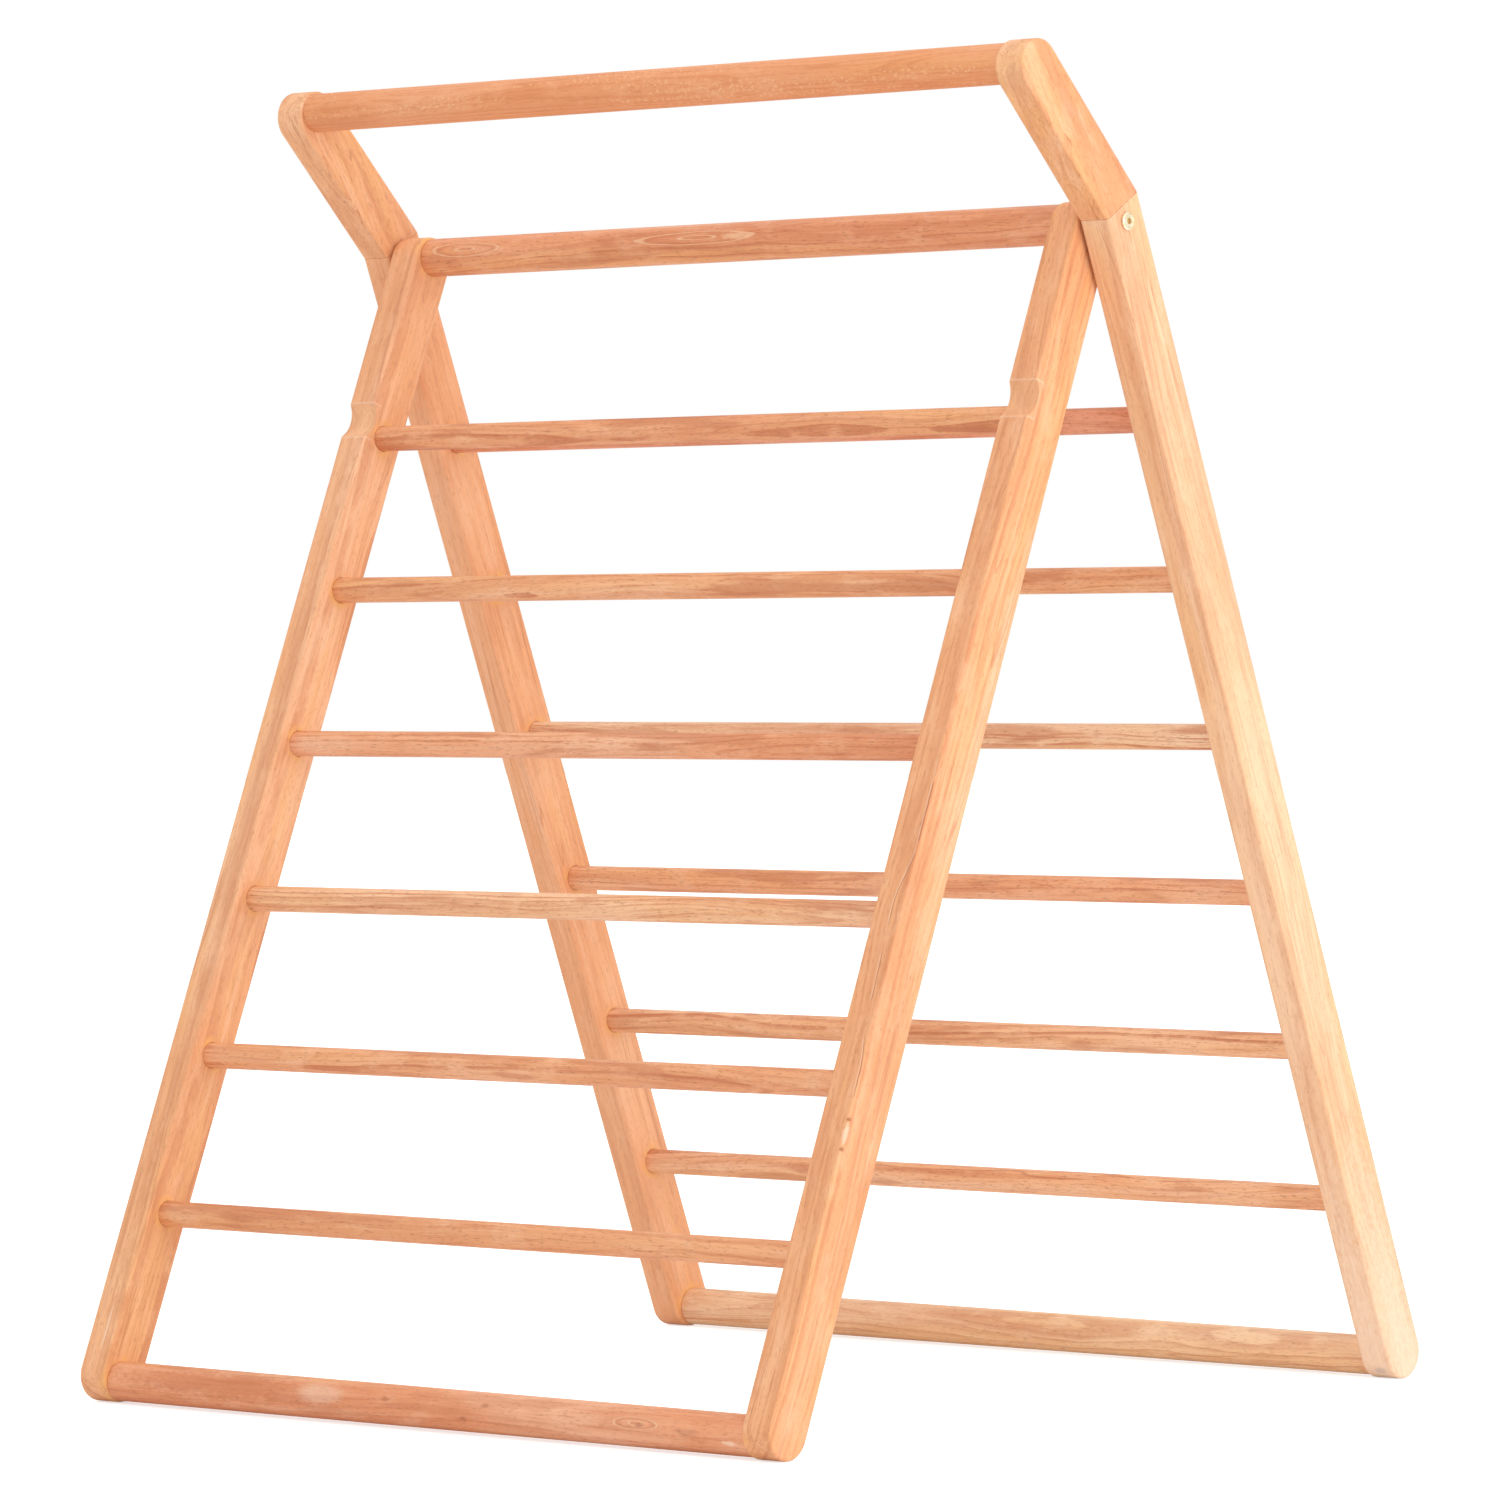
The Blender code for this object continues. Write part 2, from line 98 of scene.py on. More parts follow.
# Room and lights
WORLD_STRENGTH = 0.92  # for what it lights. The camera sees it at full white
FLOOR_GLOW = 0.52  # what the camera sees of the bright floor on top of its own light
FLOOR_OWN_GLOW = 0.08
FLOOR_COLOUR = (0.84, 0.84, 0.85, 1)
FLOOR_GLOW_COLOUR = (0.95, 0.98, 1, 1)
FLOOR_HALF_SIZE = 14.0
FLOOR_GAP = 0.0005  # keeps the floor just under the feet
KEY_PLACE = (2.7, -0.15, 1.0)
KEY_TARGET = (0.2, 0.1, 0.5)
KEY_SIZE = 1.4
KEY_POWER = 21
KEY_COLOUR = (1.0, 0.985, 0.96)
ABOVE_PLACE = (0.3, -0.4, 3.0)
ABOVE_TARGET = (0, 0, 0.5)
ABOVE_SIZE = 2.2
ABOVE_POWER = 11
ABOVE_COLOUR = (1.0, 0.99, 0.98)

# Camera
CAMERA_PLACE = (4.3597, -4.8337, 0.7014)
CAMERA_YAW = 0.73115
CAMERA_PITCH = -0.02414
CAMERA_ROLL = 0.01496
CAMERA_LENS = 183.48
CAMERA_REACH = 60
SENSOR = 36.0


# ---------------------------------------------------------------- places, read from the frame


def middle(node):
    low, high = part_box(node)
    return (low + high) / 2


def frame_matrix(top, bottom):
    """A frame's own space: origin on the hinge axis, -Z down its posts, -Y towards the front."""
    down = bottom - top
    lean = math.atan2(down.y, -down.z)
    return Matrix.Translation(top) @ Matrix.Rotation(lean, 4, "X")


HINGE = Vector(frame["joints"][0]["pos_m"])
BACK = frame_matrix(HINGE, middle("back_bottom_rail"))
FRONT = frame_matrix(HINGE, middle("front_bottom_rail"))
FRONT_RAIL_DROP = (middle("front_bottom_rail") - HINGE).length
BACK_RAIL_DROP = (middle("back_bottom_rail") - HINGE).length
FRONT_HALF_WIDTH = middle("front_post_right").x
BACK_HALF_WIDTH = middle("back_post_right").x
POST_THICK = 2 * (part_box("front_post_right")[1].x - FRONT_HALF_WIDTH)
FLOOR_Z = min(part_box("front_post_left")[0].z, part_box("back_post_left")[0].z)

HANDLE_MIDDLE = BACK.inverted() @ middle("handle_bar")
ARM_BEND = math.atan2(-HANDLE_MIDDLE.y, HANDLE_MIDDLE.z - MITRE_RISE)
ARM_LENGTH = math.hypot(HANDLE_MIDDLE.y, HANDLE_MIDDLE.z - MITRE_RISE)
ARM = BACK @ Matrix.Translation((0, 0, MITRE_RISE)) @ Matrix.Rotation(math.pi + ARM_BEND, 4, "X")

END_RADIUS = BAR_DEPTH / 2
END_SHIFT = END_RADIUS - END_REACH
SEAT_FLOOR = BAR_DEPTH / 2 - SEAT_DEPTH
SEAT_OUT = SEAT_FLOOR + SEAT_RADIUS
SEAT_LIP_OUT = BAR_DEPTH / 2 - SEAT_LIP_ROUND
SEAT_HALF = math.sqrt((SEAT_RADIUS + SEAT_LIP_ROUND) ** 2 - (SEAT_OUT - SEAT_LIP_OUT) ** 2)
SEAT_JOIN = SEAT_HALF * SEAT_RADIUS / (SEAT_RADIUS + SEAT_LIP_ROUND)
SEATED_BAR_OUT = SEAT_FLOOR + SEAT_CLEARANCE + RAIL_RADIUS
SEAT_DROP = math.sqrt(HANDLE_MIDDLE.y**2 + HANDLE_MIDDLE.z**2 - SEATED_BAR_OUT**2)


def rung_drop(space, node):
    return -(space.inverted() @ middle(node)).z


FRONT_DROPS = [rung_drop(FRONT, f"front_rung_{i}") for i in range(1, RUNG_COUNT + 1)]
BACK_DROPS = [rung_drop(BACK, f"back_rung_{i}") for i in range(1, RUNG_COUNT + 1)]


# ---------------------------------------------------------------- node graphs


class Graph:
    """Short calls for building one material's nodes."""

    def __init__(self, name):
        self.material = bpy.data.materials.new(name)
        self.material.use_nodes = True
        self.tree = self.material.node_tree
        self.shader = self.tree.nodes["Principled BSDF"]
        self.place = self.tree.nodes.new("ShaderNodeTexCoord").outputs["Object"]
        split = self.tree.nodes.new("ShaderNodeSeparateXYZ")
        self.tree.links.new(self.place, split.inputs[0])
        self.x, self.y, self.z = split.outputs

    def feed(self, socket, value):
        if isinstance(value, bpy.types.NodeSocket):
            self.tree.links.new(value, socket)
        else:
            socket.default_value = value

    def math(self, operation, a, b=0.0):
        node = self.tree.nodes.new("ShaderNodeMath")
        node.operation = operation
        self.feed(node.inputs[0], a)
        self.feed(node.inputs[1], b)
        return node.outputs[0]

    def add(self, a, b):
        return self.math("ADD", a, b)

    def times(self, a, b):
        return self.math("MULTIPLY", a, b)

    def vector(self, operation, a, b):
        node = self.tree.nodes.new("ShaderNodeVectorMath")
        node.operation = operation
        self.feed(node.inputs[0], a)
        self.feed(node.inputs[1], b)
        return node.outputs["Value" if operation == "LENGTH" else "Vector"]

    def joined(self, x, y, z):
        node = self.tree.nodes.new("ShaderNodeCombineXYZ")
        for socket, value in zip(node.inputs, (x, y, z)):
            self.feed(socket, value)
        return node.outputs[0]

    def noise(self, place, stretch, detail=2.0, roughness=0.5, colour=False):
        node = self.tree.nodes.new("ShaderNodeTexNoise")
        self.feed(node.inputs["Vector"], self.vector("MULTIPLY", place, stretch))
        node.inputs["Scale"].default_value = 1.0
        node.inputs["Detail"].default_value = detail
        node.inputs["Roughness"].default_value = roughness
        return node.outputs["Color" if colour else "Fac"]

    def cells(self, place, stretch):
        """Distance from the middle of the nearest of many small scattered cells."""
        node = self.tree.nodes.new("ShaderNodeTexVoronoi")
        self.feed(node.inputs["Vector"], self.vector("MULTIPLY", place, stretch))
        node.inputs["Scale"].default_value = 1.0
        return node.outputs["Distance"]

    def step(self, value, low, high):
        """0 below low, 1 above high. With low above high it falls instead."""
        node = self.tree.nodes.new("ShaderNodeMapRange")
        node.interpolation_type = "SMOOTHSTEP"
        self.feed(node.inputs["Value"], value)
        falls = low > high
        node.inputs["From Min"].default_value = min(low, high)
        node.inputs["From Max"].default_value = max(low, high)
        node.inputs["To Min"].default_value = 1.0 if falls else 0.0
        node.inputs["To Max"].default_value = 0.0 if falls else 1.0
        return node.outputs[0]

    def mix(self, factor, a, b):
        node = self.tree.nodes.new("ShaderNodeMix")
        node.data_type = "RGBA"
        self.feed(node.inputs["Factor"], factor)
        self.feed(node.inputs["A"], a)
        self.feed(node.inputs["B"], b)
        return node.outputs["Result"]

    def bump(self, height, strength, distance):
        node = self.tree.nodes.new("ShaderNodeBump")
        node.inputs["Strength"].default_value = strength
        node.inputs["Distance"].default_value = distance
        self.feed(node.inputs["Height"], height)
        self.feed(self.shader.inputs["Normal"], node.outputs[0])


def srgb(red, green, blue):
    """An sRGB colour given as 0..255, as the linear colour that the sockets hold."""
    linear = []
    for value in (red, green, blue):
        value /= 255
        linear.append(value / 12.92 if value <= 0.04045 else ((value + 0.055) / 1.055) ** 2.4)
    return (*linear, 1.0)


# ---------------------------------------------------------------- teak

CREAM = srgb(254, 228, 202)
PALE = srgb(250, 206, 163)
BODY = srgb(247, 183, 131)
ROSY = srgb(239, 161, 115)
DEEP = srgb(202, 120, 78)
DARK = srgb(158, 88, 54)
GOLD = srgb(246, 186, 114)
WARM = srgb(244, 184, 130)
SMOKE = srgb(150, 148, 160)
HANDLE_TINT = srgb(230, 143, 85)

# Waves per metre of each layer of the figure, across the grain (x and y) and along it (z)
BEND_WAVES = (4, 4, 2.3)
SWAY_WAVES = (28, 28, 7.0)
DRIFT_WAVES = (9, 9, 2.6)
BROAD_WAVES = (85, 85, 1.9)
MEDIUM_WAVES = (260, 260, 5.0)
FIBRE_WAVES = (750, 750, 13)
FINE_WAVES = (1500, 1500, 40)
MOTTLE_WAVES = (55, 55, 26)
PORE_WAVES = (900, 900, 150)
WARMTH_WAVES = (30, 30, 1.5)
VEIN_WAVES = (60, 60, 1.1)
SPARSE_WAVES = (16, 16, 3.2)
DUSK_WAVES = (52, 52, 6.0)

BEND_REACH = 0.03  # how far, in metres, the grain bends and sways off its straight course
SWAY_REACH = 0.009
RING_NOISE_WAVES = 120  # per metre of distance from the pith, for how uneven the rings are

FRONT_FACE = -BAR_DEPTH / 2  # of a post, in its own space
OUTER_FACE = POST_THICK / 2  # of a right-hand post, in its own space


def between(first, second, share):
    return tuple(a + (b - a) * share for a, b in zip(first, second))


def teak(
    name, seed, tone=0.0, figure=0.5, pith=(0.06, 0.04), ring=0.006, slant=(0.0, 0.0), extra=None
):
    """Solid teak: soft broad streaks and finer ones that wander along the grain, growth rings
    round a pith beside the piece, a few thin dark veins, fibres and pores.
    tone goes from pale (-1) to dark and rosy (1), figure from plain (0) to strongly marked (1),
    and slant is how far the grain runs off the piece's own axis."""
    main = between(BODY, ROSY, tone) if tone > 0 else between(BODY, PALE, -tone)
    light = between(main, CREAM, 0.40)
    dark = between(main, DEEP, 0.55)

    g = Graph(name)
    off = g.joined(g.times(g.z, slant[0]), g.times(g.z, slant[1]), 0.0)
    straight = g.vector("ADD", g.place, off)
    place = g.vector("ADD", straight, (seed * 3.17, seed * 1.73, seed * 5.39))
    bend = g.vector("SUBTRACT", g.noise(place, BEND_WAVES, 1.0, colour=True), (0.5, 0.5, 0.5))
    sway = g.vector("SUBTRACT", g.noise(place, SWAY_WAVES, 2.0, colour=True), (0.5, 0.5, 0.5))
    bend = g.vector("MULTIPLY", bend, (BEND_REACH,) * 3)
    sway = g.vector("MULTIPLY", sway, (SWAY_REACH,) * 3)
    flow = g.vector("ADD", bend, sway)
    grain = g.vector("ADD", place, flow)

    drift = g.noise(place, DRIFT_WAVES, 2.0)
    broad = g.noise(grain, BROAD_WAVES, 3.0, 0.55)
    medium = g.noise(grain, MEDIUM_WAVES, 3.0, 0.6)
    fibre = g.noise(grain, FIBRE_WAVES, 3.0, 0.65)
    fine = g.noise(place, FINE_WAVES, 3.0, 0.6)
    mottle = g.noise(place, MOTTLE_WAVES, 3.0, 0.6)
    pores = g.step(g.noise(grain, PORE_WAVES, 2.0), 0.56, 0.70)
    warmth = g.step(g.noise(grain, WARMTH_WAVES, 2.0), 0.48, 0.68)

    colour = g.mix(g.times(g.step(drift, 0.40, 0.66), 0.5), main, dark)
    colour = g.mix(g.times(g.step(drift, 0.52, 0.34), 0.6), colour, light)
    colour = g.mix(g.times(warmth, 0.45), colour, between(main, GOLD, 0.8))
    colour = g.mix(g.times(g.step(broad, 0.50, 0.72), 0.35 + 0.45 * figure), colour, dark)
    colour = g.mix(g.times(g.step(broad, 0.47, 0.27), 0.55), colour, light)
    colour = g.mix(g.times(g.step(mottle, 0.52, 0.30), 0.30), colour, light)
    colour = g.mix(g.times(g.step(medium, 0.52, 0.74), 0.22 + 0.40 * figure), colour, DEEP)
    colour = g.mix(g.times(g.step(medium, 0.45, 0.25), 0.30), colour, light)

    centred = g.vector("SUBTRACT", g.vector("ADD", straight, flow), (*pith, 0.0))
    radius = g.vector("LENGTH", g.vector("MULTIPLY", centred, (1, 1, 0)), (0, 0, 0))
    uneven = g.noise(g.joined(g.times(radius, RING_NOISE_WAVES), seed, 0.0), (1, 1, 1), 1.0)
    count = g.add(g.times(radius, 1 / ring), g.times(uneven, 2.4))
    year = g.math("FRACT", count)
    which = g.noise(g.joined(g.math("FLOOR", count), seed, 3.7), (0.73, 1, 1), 0.0)
    late = g.times(g.step(year, 0.30, 0.95), g.step(year, 1.0, 0.95))
    rings = g.times(g.times(late, g.step(which, 0.40, 0.66)), g.step(mottle, 0.30, 0.55))
    colour = g.mix(g.times(rings, 0.25 + 0.55 * figure), colour, DEEP)

    contour = g.noise(grain, VEIN_WAVES, 1.0)
    line = g.step(g.math("ABSOLUTE", g.math("SUBTRACT", contour, 0.52)), 0.012, 0.002)
    sparse = g.step(g.noise(place, SPARSE_WAVES, 1.0), 0.50, 0.62)
    colour = g.mix(g.times(g.times(line, sparse), 0.45), colour, between(DEEP, DARK, 0.4))
    colour = g.mix(g.times(g.step(fibre, 0.48, 0.76), 0.22 + 0.20 * figure), colour, DEEP)
    colour = g.mix(g.times(g.step(fibre, 0.46, 0.24), 0.25), colour, light)
    colour = g.mix(g.times(pores, 0.22 + 0.20 * figure), colour, DARK)
    height = g.math("SUBTRACT", g.add(g.times(fine, 0.5), g.times(fibre, 0.5)), g.times(pores, 0.6))
    dusk = g.step(g.noise(grain, DUSK_WAVES, 3.0, 0.6), 0.53, 0.64)
    colour = g.mix(g.times(dusk, 0.48 * figure), colour, between(DEEP, DARK, 0.20))
    if extra:
        colour = extra(g, colour)
    g.feed(g.shader.inputs["Base Color"], colour)
    rough = g.add(g.times(fine, 0.14), g.add(g.times(fibre, 0.10), 0.44))
    g.feed(g.shader.inputs["Roughness"], rough)
    g.shader.inputs["IOR"].default_value = 1.42
    g.bump(height, 0.35, 0.0003)
    return g.material


def mark(g, colour, centre, size, tint, amount=0.8, ragged=0.5):
    """A soft-edged spot, such as a knot, a pale patch or a scar, by its centre and half sizes."""
    apart = g.vector("SUBTRACT", g.place, centre)
    away = g.vector("LENGTH", g.vector("MULTIPLY", apart, tuple(1 / half for half in size)), (0, 0, 0))
    rough = g.math("SUBTRACT", g.noise(g.place, (380, 380, 190), 3.0), 0.5)
    away = g.add(away, g.times(rough, 2 * ragged))
    return g.mix(g.times(g.step(away, 1.0, 0.35), amount), colour, tint)


def knot(g, colour, centre, size):
    """A small knot: a dark eye inside a paler swirl."""
    wide = tuple(2.2 * half for half in size)
    eye = tuple(0.5 * half for half in size)
    colour = mark(g, colour, centre, wide, CREAM, 0.35)
    colour = mark(g, colour, centre, size, DEEP, 0.8)
    return mark(g, colour, centre, eye, DARK, 0.8)


def ovals(g, colour, centre, half_length, half_height):
    """Long oval growth lines, where a rail's surface runs along the rings."""
    apart = g.vector("SUBTRACT", g.place, (centre[0], 0.0, centre[1]))
    away = g.vector("LENGTH", g.vector("MULTIPLY", apart, (1 / half_height, 0, 1 / half_length)), (0, 0, 0))
    away = g.add(away, g.times(g.noise(g.place, (110, 110, 16), 3.0), 0.6))
    turn = g.math("FRACT", g.times(away, 1.55))
    near = g.times(g.step(away, 1.75, 1.25), g.step(g.y, 0.002, -0.006))
    pale = g.times(g.step(turn, 0.72, 0.86), g.step(turn, 1.0, 0.92))
    colour = g.mix(g.times(g.times(g.step(turn, 0.2, 0.7), near), 0.45), colour, DEEP)
    return g.mix(g.times(g.times(pale, near), 0.60), colour, PALE)


def golden_rings(g, colour, x_face, places):
    """Fresh, golden wood round each rung or rail where the glue was sanded off the post's face."""
    near = None
    for drop, radius in places:
        away = g.vector("LENGTH", g.joined(0.0, g.y, g.add(g.z, drop)), (0, 0, 0))
        ring = g.step(away, radius + 0.008, radius + 0.001)
        near = ring if near is None else g.math("MAXIMUM", near, ring)
    inside = g.step(g.times(g.x, x_face), 0.25, 0.95)
    patchy = g.add(g.times(g.step(g.noise(g.place, (95, 95, 60), 2.0), 0.35, 0.65), 0.8), 0.1)
    return g.mix(g.times(g.times(near, inside), patchy), colour, GOLD)


def scooped(g, colour):
    """Slightly paler, warmer wood on the scoop's floor, partly the wood's own colour and partly painted
    light that lifts the shade of the hollow, with a painted highlight as a thin light line along each lip.
    """
    along = g.math("ABSOLUTE", g.add(g.z, SEAT_DROP))
    near_face = g.step(g.y, -SEAT_FLOOR + 0.004, -SEAT_FLOOR + 0.001)
    floor = g.times(g.step(along, SEAT_HALF, SEAT_HALF - 0.003), near_face)
    # Partly painted light: the floor is mixed paler against the shade of the hollow
    colour = g.mix(g.times(floor, 0.25), colour, between(PALE, WARM, 0.4))
    # Painted highlight: a thin cream line along each lip
    lip = g.step(g.math("ABSOLUTE", g.math("SUBTRACT", along, SEAT_HALF - 0.002)), 0.0009, 0.0002)
    return g.mix(g.times(g.times(lip, near_face), 0.28), colour, CREAM)


# ---------------------------------------------------------------- outlines, in (drop, out) pairs


def arc(centre, radius, start, end, steps):
    """Points on an arc, angles in degrees from the drop direction towards the out direction."""
    points = []
    for step in range(steps + 1):
        angle = math.radians(start + (end - start) * step / steps)
        points.append((centre[0] + radius * math.cos(angle), centre[1] + radius * math.sin(angle)))
    return points


def seat_out(along):
    """Height of the scoop's floor or of its rounded lip, at a distance along from its middle."""
    if along < SEAT_JOIN:
        return SEAT_OUT - math.sqrt(SEAT_RADIUS**2 - along**2)
    return SEAT_LIP_OUT + math.sqrt(max(0.0, SEAT_LIP_ROUND**2 - (SEAT_HALF - along) ** 2))


def seat_points(shrink):
    """The scoop in a front post's face. It runs straight across the rounded arrises, so where an
    arris has already fallen away by shrink the scoop starts further in."""
    face = BAR_DEPTH / 2 - shrink
    if face > seat_out(SEAT_JOIN):
        start = SEAT_HALF - math.sqrt(max(0.0, SEAT_LIP_ROUND**2 - (face - SEAT_LIP_OUT) ** 2))
    else:
        start = math.sqrt(SEAT_RADIUS**2 - (SEAT_OUT - face) ** 2)
    points = []
    for step in range(SEAT_STEPS + 1):
        along = -start * math.cos(math.pi * step / SEAT_STEPS)
        points.append((SEAT_DROP + along, seat_out(abs(along))))
    return points


def bar_outline(top, bottom, shrink, seat=False):
    """Side view of a post or an arm. A top given as None runs on, to be cut off at the mitre."""
    half = BAR_DEPTH / 2 - shrink
    points = []
    if top is None:
        points.append((-MITRE_OVERRUN, half))
    if seat:
        points += seat_points(shrink)
    points += arc((bottom - END_SHIFT, 0.0), half, 90, -90, END_STEPS)
    if top is None:
        points.append((-MITRE_OVERRUN, -half))
    else:
        points += arc((top + END_SHIFT, 0.0), half, 270, 90, END_STEPS)
    return points


def slab(outline):
    """A bar of POST_THICK whose side view is outline(shrink), its arrises rounded over."""
    half = POST_THICK / 2
    rings = []
    for step in range(FILLET_STEPS + 1):
        angle = math.pi / 2 * step / FILLET_STEPS
        inset = EDGE_ROUND * (1 - math.cos(angle))
        rings.append((-half + inset, EDGE_ROUND * (1 - math.sin(angle))))
    rings += [(-x, shrink) for x, shrink in reversed(rings)]
    builder = bmesh.new()
    loops = []
    for x, shrink in rings:
        loops.append([builder.verts.new((x, -out, -drop)) for drop, out in outline(shrink)])
    for lower, upper in zip(loops, loops[1:]):
        for i in range(len(lower)):
            j = (i + 1) % len(lower)
            builder.faces.new((lower[i], lower[j], upper[j], upper[i]))
    builder.faces.new(list(reversed(loops[0])))
    builder.faces.new(loops[-1])
    return builder


def slice_off(builder, point, normal, ease=0.0):
    """Removes what lies on the normal's side of a plane, closes the cut and eases its edges."""
    geometry = list(builder.verts) + list(builder.edges) + list(builder.faces)
    cut = bmesh.ops.bisect_plane(
        builder, geom=geometry, plane_co=point, plane_no=normal, clear_outer=True, dist=1e-7
    )
    edges = [item for item in cut["geom_cut"] if isinstance(item, bmesh.types.BMEdge)]
    bmesh.ops.contextual_create(builder, geom=edges)
    if ease:
        bmesh.ops.bevel(builder, geom=edges, offset=ease, segments=2, affect="EDGES", profile=0.5)


def revolve(builder, profile, sides, matrix=None):
    """A solid of revolution round Z from (z, radius) pairs. z may be a function of the angle."""
    matrix = matrix or Matrix.Identity(4)
    loops = []
    for along, radius in profile:
        loop = []
        for i in range(sides):
            angle = 2 * math.pi * i / sides
            z = along(angle) if callable(along) else along
            point = Vector((radius * math.cos(angle), radius * math.sin(angle), z))
            loop.append(builder.verts.new(matrix @ point))
        loops.append(loop)
    for lower, upper in zip(loops, loops[1:]):
        for i in range(sides):
            j = (i + 1) % sides
            builder.faces.new((lower[i], lower[j], upper[j], upper[i]))
    builder.faces.new(list(reversed(loops[0])))
    builder.faces.new(loops[-1])


# ---------------------------------------------------------------- objects


def add_mesh(name, builder, matrix, material=None):
    mesh = bpy.data.meshes.new(name)
    bmesh.ops.recalc_face_normals(builder, faces=builder.faces)
    builder.to_mesh(mesh)
    builder.free()
    obj = bpy.data.objects.new(name, mesh)
    bpy.context.scene.collection.objects.link(obj)
    obj.matrix_world = matrix
    if material:
        mesh.materials.append(material)
    return obj


def finish_piece(obj, node, body):
    """Shades a piece, lets it stand for its CAD node and hangs it on its body."""
    obj.data.shade_smooth()
    obj.data.set_sharp_from_angle(angle=math.radians(32))
    weighted = obj.modifiers.new("flat faces stay flat", "WEIGHTED_NORMAL")
    weighted.keep_sharp = True
    weighted.weight = 100
    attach(obj, body)
    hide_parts(node)


def subtract(obj, builder, matrix):
    """Cuts a shape out of obj for good."""
    cutter = add_mesh(f"{obj.name}_cutter", builder, matrix)
    modifier = obj.modifiers.new("cut", "BOOLEAN")
    modifier.operation = "DIFFERENCE"
    modifier.solver = "EXACT"
    modifier.object = cutter
    bpy.context.view_layer.update()
    evaluated = obj.evaluated_get(bpy.context.evaluated_depsgraph_get())
    mesh = bpy.data.meshes.new_from_object(evaluated)
    obj.modifiers.clear()
    old = obj.data
    obj.data = mesh
    mesh.name = obj.name
    bpy.data.meshes.remove(old)
    bpy.data.objects.remove(cutter)


TO_X = Matrix.Rotation(math.pi / 2, 4, "Y")  # lays a rod's own Z along the rack's X


def socket_cutter(side, drops, bolt):
    """Round sockets in a post's inner face, in the post's own space, and its bolt hole."""
    builder = bmesh.new()
    face = -side * POST_THICK / 2
    for drop, radius in drops:
        place = Matrix.Translation((face, 0, -drop)) @ TO_X
        ends = sorted((-side * TIMBER_OVERRUN, side * (TENON_SINK + SEAM)))
        revolve(builder, [(ends[0], radius + SEAM), (ends[1], radius + SEAM)], RUNG_SIDES, place)
    if bolt:
        reach = POST_THICK / 2 + TIMBER_OVERRUN
        revolve(builder, [(-reach, BOLT_HOLE_RADIUS), (reach, BOLT_HOLE_RADIUS)], RUNG_SIDES, TO_X)
    return builder


def post(name, space, body, side, half_width, outline, drops, bolt, material, cuts=()):
    builder = slab(outline)
    for point, normal, ease in cuts:
        slice_off(builder, point, normal, ease)
    matrix = space @ Matrix.Translation((side * half_width, 0, 0))
    obj = add_mesh(name, builder, matrix, material)
    subtract(obj, socket_cutter(side, drops, bolt), matrix)
    finish_piece(obj, name.removesuffix("_teak"), body)


def rung(name, space, body, half_width, drop, material):
    tip = half_width - POST_THICK / 2 + TENON_SINK
    half = [(tip - SEAM_EASE, RUNG_RADIUS), (tip, RUNG_RADIUS - SEAM_EASE)]
    profile = [(-z, r) for z, r in reversed(half)] + [(z, r) for z, r in half]
    builder = bmesh.new()
    revolve(builder, profile, RUNG_SIDES)
    obj = add_mesh(name, builder, space @ Matrix.Translation((0, 0, -drop)) @ TO_X, material)
    finish_piece(obj, name.removesuffix("_teak"), body)


def shoulder(half_width, points_down):
    """Where a rail's surface meets the post's rounded end, as a function of the angle round it.
    A rail's own X runs down the post once TO_X has laid it across."""

    def reach(angle):
        down = RAIL_RADIUS * math.cos(angle) * (1 if points_down else -1)
        out = RAIL_RADIUS * math.sin(angle)
        past = down + END_SHIFT
        if past > 0:
            inside = END_RADIUS - math.hypot(past, out)
        else:
            inside = END_RADIUS - abs(out)
        fall = 0.0
        if inside < EDGE_ROUND:
            fall = EDGE_ROUND - math.sqrt(max(0.0, EDGE_ROUND**2 - (EDGE_ROUND - inside) ** 2))
        return half_width - POST_THICK / 2 + fall

    return reach


def rail(name, matrix, body, half_width, points_down, material):
    """A thick round rail, its ends coped over the posts' rounded arrises with a fine eased seam."""
    reach = shoulder(half_width, points_down)
    half = [
        (lambda angle: reach(angle) - COPE_DEPTH, RAIL_RADIUS),
        (lambda angle: reach(angle) - SEAM - SEAM_EASE, RAIL_RADIUS),
        (lambda angle: reach(angle) - SEAM - 0.3 * SEAM_EASE, RAIL_RADIUS - 0.3 * SEAM_EASE),
        (lambda angle: reach(angle) - SEAM, RAIL_RADIUS - SEAM_EASE),
        (lambda angle: half_width - POST_THICK / 2, RAIL_CORE),
        (lambda angle: half_width - POST_THICK / 2 + TENON_SINK, RAIL_CORE),
    ]
    profile = [(lambda angle, z=z: -z(angle), r) for z, r in reversed(half)] + half
    builder = bmesh.new()
    revolve(builder, profile, RAIL_SIDES)
    obj = add_mesh(name, builder, matrix @ TO_X, material)
    finish_piece(obj, name.removesuffix("_teak"), body)


# ---------------------------------------------------------------- back frame with its handle

MITRE_POINT = Vector((0, 0, MITRE_RISE))
MITRE_ACROSS = Vector((0, -math.sin(ARM_BEND / 2), math.cos(ARM_BEND / 2)))
ARM_LOCAL = BACK.inverted() @ ARM


def in_arm(out, drop):
    """A place on an arm, given as it lies in the back frame's space, in the arm's own space."""
    return ARM_LOCAL.inverted() @ Vector((0, -out, -drop))


